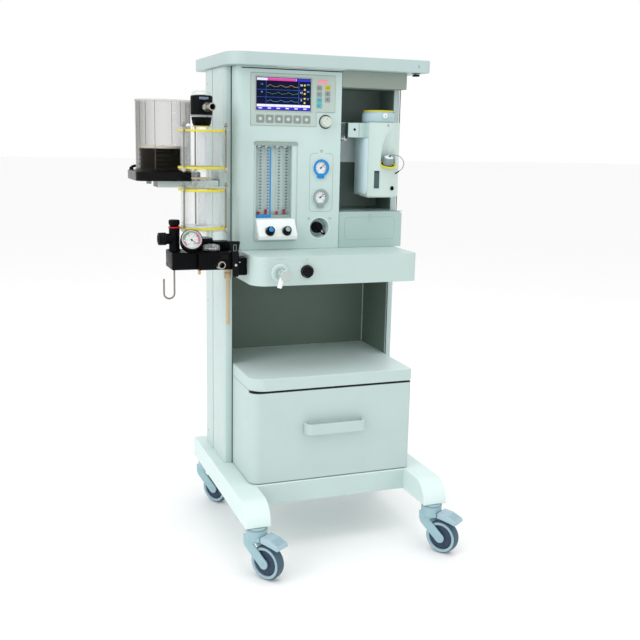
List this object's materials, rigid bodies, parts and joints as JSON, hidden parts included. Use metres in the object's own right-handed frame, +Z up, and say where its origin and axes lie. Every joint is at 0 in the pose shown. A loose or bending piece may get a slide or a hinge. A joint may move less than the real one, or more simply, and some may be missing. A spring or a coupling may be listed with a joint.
{
  "type": "veterinary anesthesia machine",
  "caption": "Wheeled anesthesia machine with gas panel, display, vaporizer bay, work surface, drawer, and a side breathing circuit with absorber canisters and bellows.",
  "frame": {"origin": "middle of the bounding box's base, on the floor", "axes": "+Z up, -Y towards the user (front), +X to the right of a person facing the front"},
  "size_m": [0.8912, 0.7578, 1.46],
  "materials": {
    "enclosure": "satin pale grey-green powder coat",
    "frame_paint": "satin off-white powder coat",
    "dark_liner": "dark grey-green, matt",
    "bezel": "matt membrane overlay",
    "white_plastic": "satin",
    "black_plastic": "satin",
    "bellows_rubber": "matt",
    "tether_wire": "coated wire",
    "steel": "brushed",
    "vaporizer_paint": "painted casting",
    "bracket_paint": "painted casting",
    "dial_plastic": "satin",
    "float": "satin",
    "clear_plastic": "clear polysulfone",
    "smoke_plastic": "smoked clear plastic",
    "aluminium": "machined",
    "caster_plastic": "satin nylon",
    "caster_tyre": "grey non-marking rubber"
  },
  "bodies": {
    "machine": {"base_frame": "frame_paint", "column_right": "frame_paint", "column_left": "frame_paint", "top_shelf": "enclosure", "rear_panel": "enclosure", "front_housing": "enclosure", "display_module": "bezel", "flow_meter_block": "white_plastic", "oxygen_gauge": "white_plastic", "nitrous_gauge": "white_plastic", "bay_liner": "dark_liner", "bay_cover": "enclosure", "vaporizer_body": "vaporizer_paint", "filler_tether": "tether_wire", "vaporizer_mount": "bracket_paint", "work_surface": "enclosure", "cabinet_shell": "enclosure", "cabinet_top": "enclosure", "gas_module": "aluminium", "circuit_block": "black_plastic", "clamp_block": "black_plastic", "bag_hook": "steel", "manometer": "black_plastic", "canister_lower": "clear_plastic", "canister_upper": "clear_plastic", "valve_head": "black_plastic", "bellows_tray": "black_plastic", "bellows_dome": "smoke_plastic", "bellows": "bellows_rubber"},
    "caster_front_left": {"caster_fork_front_left": "caster_plastic"},
    "wheel_front_left": {"caster_wheel_front_left": "caster_tyre"},
    "pedal_left": {"brake_pedal_left": "caster_plastic"},
    "caster_front_right": {"caster_fork_front_right": "caster_plastic"},
    "wheel_front_right": {"caster_wheel_front_right": "caster_tyre"},
    "pedal_right": {"brake_pedal_right": "caster_plastic"},
    "caster_rear_left": {"caster_fork_rear_left": "caster_plastic"},
    "wheel_rear_left": {"caster_wheel_rear_left": "caster_tyre"},
    "caster_rear_right": {"caster_fork_rear_right": "caster_plastic"},
    "wheel_rear_right": {"caster_wheel_rear_right": "caster_tyre"},
    "drawer": {"drawer_box": "frame_paint", "drawer_front": "enclosure", "drawer_handle": "enclosure"},
    "lamp_switch_body": {"lamp_switch": "black_plastic"},
    "display_knob_body": {"display_knob": "white_plastic"},
    "flow_knob_oxygen_body": {"flow_knob_oxygen": "black_plastic"},
    "flow_knob_nitrous_body": {"flow_knob_nitrous": "black_plastic"},
    "float_oxygen_body": {"float_oxygen": "float"},
    "float_nitrous_body": {"float_nitrous": "float"},
    "oxygen_gauge_needle_body": {"oxygen_gauge_needle": "black_plastic"},
    "nitrous_gauge_needle_body": {"nitrous_gauge_needle": "black_plastic"},
    "manometer_needle_body": {"manometer_needle": "black_plastic"},
    "switch_lever_body": {"switch_lever": "black_plastic"},
    "selector_lever_body": {"selector_lever": "steel"},
    "flush_button_body": {"flush_button": "black_plastic"},
    "vaporizer_dial_body": {"vaporizer_dial": "dial_plastic"},
    "dial_lock_button_body": {"dial_lock_button": "white_plastic"},
    "filler_cap_body": {"filler_cap": "dial_plastic"},
    "apl_knob_body": {"apl_knob": "black_plastic"},
    "clamp_lever_body": {"clamp_lever": "black_plastic"},
    "bellows_disc_body": {"bellows_disc": "white_plastic"}
  },
  "joints": [
    {"name": "swivel_front_left", "type": "hinge", "parent": "machine", "child": "caster_front_left", "pos_m": [-0.18257, -0.28508, 0.148], "axis": [0, 0, 1], "continuous": true},
    {"name": "spin_front_left", "type": "hinge", "parent": "caster_front_left", "child": "wheel_front_left", "pos_m": [-0.15908, -0.3199, 0.05], "axis": [0.829, 0.5592, 0], "continuous": true},
    {"name": "brake_left", "type": "hinge", "parent": "caster_front_left", "child": "pedal_left", "pos_m": [-0.16579, -0.30995, 0.118], "axis": [0.829, 0.5592, 0], "range_deg": [0, 10]},
    {"name": "swivel_front_right", "type": "hinge", "parent": "machine", "child": "caster_front_right", "pos_m": [0.37143, -0.28508, 0.148], "axis": [0, 0, 1], "continuous": true},
    {"name": "spin_front_right", "type": "hinge", "parent": "caster_front_right", "child": "wheel_front_right", "pos_m": [0.39492, -0.3199, 0.05], "axis": [0.829, 0.5592, 0], "continuous": true},
    {"name": "brake_right", "type": "hinge", "parent": "caster_front_right", "child": "pedal_right", "pos_m": [0.38821, -0.30995, 0.118], "axis": [0.829, 0.5592, 0], "range_deg": [0, 10]},
    {"name": "swivel_rear_left", "type": "hinge", "parent": "machine", "child": "caster_rear_left", "pos_m": [-0.18257, 0.29992, 0.148], "axis": [0, 0, 1], "continuous": true},
    {"name": "spin_rear_left", "type": "hinge", "parent": "caster_rear_left", "child": "wheel_rear_left", "pos_m": [-0.15908, 0.2651, 0.05], "axis": [0.829, 0.5592, 0], "continuous": true},
    {"name": "swivel_rear_right", "type": "hinge", "parent": "machine", "child": "caster_rear_right", "pos_m": [0.37143, 0.29992, 0.148], "axis": [0, 0, 1], "continuous": true},
    {"name": "spin_rear_right", "type": "hinge", "parent": "caster_rear_right", "child": "wheel_rear_right", "pos_m": [0.39492, 0.2651, 0.05], "axis": [0.829, 0.5592, 0], "continuous": true},
    {"name": "drawer_slide", "type": "slide", "parent": "machine", "child": "drawer", "axis": [0, -1, 0], "range_m": [0, 0.3]},
    {"name": "lamp_rocker", "type": "hinge", "parent": "machine", "child": "lamp_switch_body", "pos_m": [0.39543, -0.01008, 1.4204], "axis": [1, 0, 0], "range_deg": [-6, 6]},
    {"name": "display_knob_turn", "type": "hinge", "parent": "machine", "child": "display_knob_body", "pos_m": [0.10743, -0.00608, 1.272], "axis": [0, -1, 0], "continuous": true},
    {"name": "oxygen_flow_turn", "type": "hinge", "parent": "machine", "child": "flow_knob_oxygen_body", "pos_m": [-0.07057, -0.02718, 0.95], "axis": [0, -0.866, 0.5], "range_deg": [0, 720]},
    {"name": "nitrous_flow_turn", "type": "hinge", "parent": "machine", "child": "flow_knob_nitrous_body", "pos_m": [-0.01857, -0.02718, 0.95], "axis": [0, -0.866, 0.5], "range_deg": [0, 720]},
    {"name": "oxygen_float_rise", "type": "slide", "parent": "machine", "child": "float_oxygen_body", "axis": [0, 0, 1], "range_m": [0, 0.17]},
    {"name": "nitrous_float_rise", "type": "slide", "parent": "machine", "child": "float_nitrous_body", "axis": [0, 0, 1], "range_m": [0, 0.17]},
    {"name": "oxygen_needle_turn", "type": "hinge", "parent": "machine", "child": "oxygen_gauge_needle_body", "pos_m": [0.09543, -0.00408, 1.137], "axis": [0, -1, 0], "range_deg": [-80, 170], "stiffness_Nm_per_rad": 0.0005},
    {"name": "nitrous_needle_turn", "type": "hinge", "parent": "machine", "child": "nitrous_gauge_needle_body", "pos_m": [0.09543, -0.00408, 1.049], "axis": [0, -1, 0], "range_deg": [-80, 170], "stiffness_Nm_per_rad": 0.0005},
    {"name": "airway_needle_turn", "type": "hinge", "parent": "machine", "child": "manometer_needle_body", "pos_m": [-0.32357, -0.10908, 0.94], "axis": [-0.0799, -0.8685, 0.4892], "range_deg": [-200, 60], "stiffness_Nm_per_rad": 0.0005},
    {"name": "system_switch_turn", "type": "hinge", "parent": "machine", "child": "switch_lever_body", "pos_m": [0.09443, 0.02392, 0.956], "axis": [0, -1, 0], "range_deg": [-90, 0]},
    {"name": "selector_turn", "type": "hinge", "parent": "machine", "child": "selector_lever_body", "pos_m": [-0.08157, -0.18608, 0.847], "axis": [0, -1, 0], "range_deg": [0, 90]},
    {"name": "flush_press", "type": "slide", "parent": "machine", "child": "flush_button_body", "axis": [0, 1, 0], "range_m": [0, 0.0055], "stiffness_N_per_m": 400},
    {"name": "vaporizer_dial_turn", "type": "hinge", "parent": "machine", "child": "vaporizer_dial_body", "pos_m": [0.29443, 0.03592, 1.29], "axis": [0, 0, 1], "range_deg": [0, 270]},
    {"name": "dial_lock_press", "type": "slide", "parent": "vaporizer_dial_body", "child": "dial_lock_button_body", "axis": [0, 1, 0], "range_m": [0, 0.003], "stiffness_N_per_m": 300},
    {"name": "filler_cap_turn", "type": "hinge", "parent": "machine", "child": "filler_cap_body", "pos_m": [0.30043, -0.03208, 1.146], "axis": [0, -0.3401, 0.9404], "range_deg": [0, 720]},
    {"name": "apl_turn", "type": "hinge", "parent": "machine", "child": "apl_knob_body", "pos_m": [-0.36057, -0.05208, 0.98], "axis": [0, 0, 1], "range_deg": [0, 270]},
    {"name": "clamp_turn", "type": "hinge", "parent": "machine", "child": "clamp_lever_body", "pos_m": [-0.20257, -0.11808, 0.872], "axis": [0, -1, 0], "range_deg": [0, 40]},
    {"name": "bellows_rise", "type": "slide", "parent": "machine", "child": "bellows_disc_body", "axis": [0, 0, 1], "range_m": [0, 0.125], "deforming": ["bellows"]}
  ],
  "couplings": [
    {"joint": "oxygen_float_rise", "follows": "oxygen_flow_turn", "m_per_rad": 0.0135},
    {"joint": "nitrous_float_rise", "follows": "nitrous_flow_turn", "m_per_rad": 0.0135}
  ]
}
